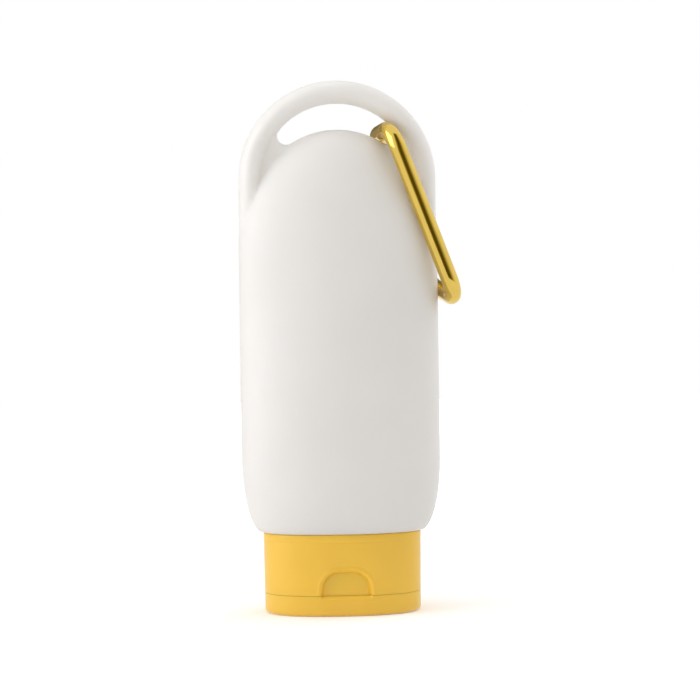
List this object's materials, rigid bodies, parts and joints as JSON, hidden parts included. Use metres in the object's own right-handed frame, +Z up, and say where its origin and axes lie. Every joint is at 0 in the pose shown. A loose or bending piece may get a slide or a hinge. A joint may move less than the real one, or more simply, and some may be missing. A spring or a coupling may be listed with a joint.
{
  "type": "sunscreen bottle",
  "caption": "Flattened squeeze bottle standing on an oval flip-top cap, with a moulded hanging loop and a sprung-gate wire carabiner clipped through it.",
  "frame": {"origin": "middle of the closed lid's flat underside, on the bottle's upright axis", "axes": "+Z up the bottle from the cap to the hanging loop, +X to the right seen from the front, +Y to the back"},
  "size_m": [0.0465, 0.0286, 0.1119],
  "materials": {
    "bottle_white": "soft matte",
    "seal_foam": "matte",
    "cap_yellow": "soft matte",
    "gold_aluminium": "polished gold anodised",
    "steel": "bright"
  },
  "bodies": {
    "bottle": {"bottle_shell": "bottle_white", "neck_gasket": "seal_foam", "cap_base": "cap_yellow", "cap_hinge_strip": "cap_yellow"},
    "lid": {"cap_lid": "cap_yellow"},
    "carabiner": {"carabiner_frame": "gold_aluminium"},
    "gate": {"carabiner_gate": "gold_aluminium", "gate_rivet": "gold_aluminium", "gate_catch_pin": "steel", "gate_spring": "steel"},
    "plunger": {"gate_plunger": "steel"}
  },
  "joints": [
    {"name": "lid_flip", "type": "hinge", "parent": "bottle", "child": "lid", "pos_m": [0, 0.01115, 0.0043], "axis": [1, 0, 0], "range_deg": [0, 150]},
    {"name": "carabiner_swing", "type": "hinge", "parent": "bottle", "child": "carabiner", "pos_m": [0.00984, 0, 0.10099], "axis": [0.1045, -0.9945, 0], "range_deg": [0, 160]},
    {"name": "gate_open", "type": "hinge", "parent": "carabiner", "child": "gate", "pos_m": [0.01163, 0.0104, 0.09353], "axis": [-0.9284, -0.0976, -0.3585], "range_deg": [0, 16], "stiffness_Nm_per_rad": 0.0015, "springref_deg": -28.65},
    {"name": "plunger_slide", "type": "slide", "parent": "gate", "child": "plunger", "axis": [0.3374, 0.1825, -0.9235], "range_m": [0, 0.00026]}
  ],
  "couplings": [
    {"joint": "plunger_slide", "follows": "gate_open", "m_per_rad": 0.0009}
  ]
}
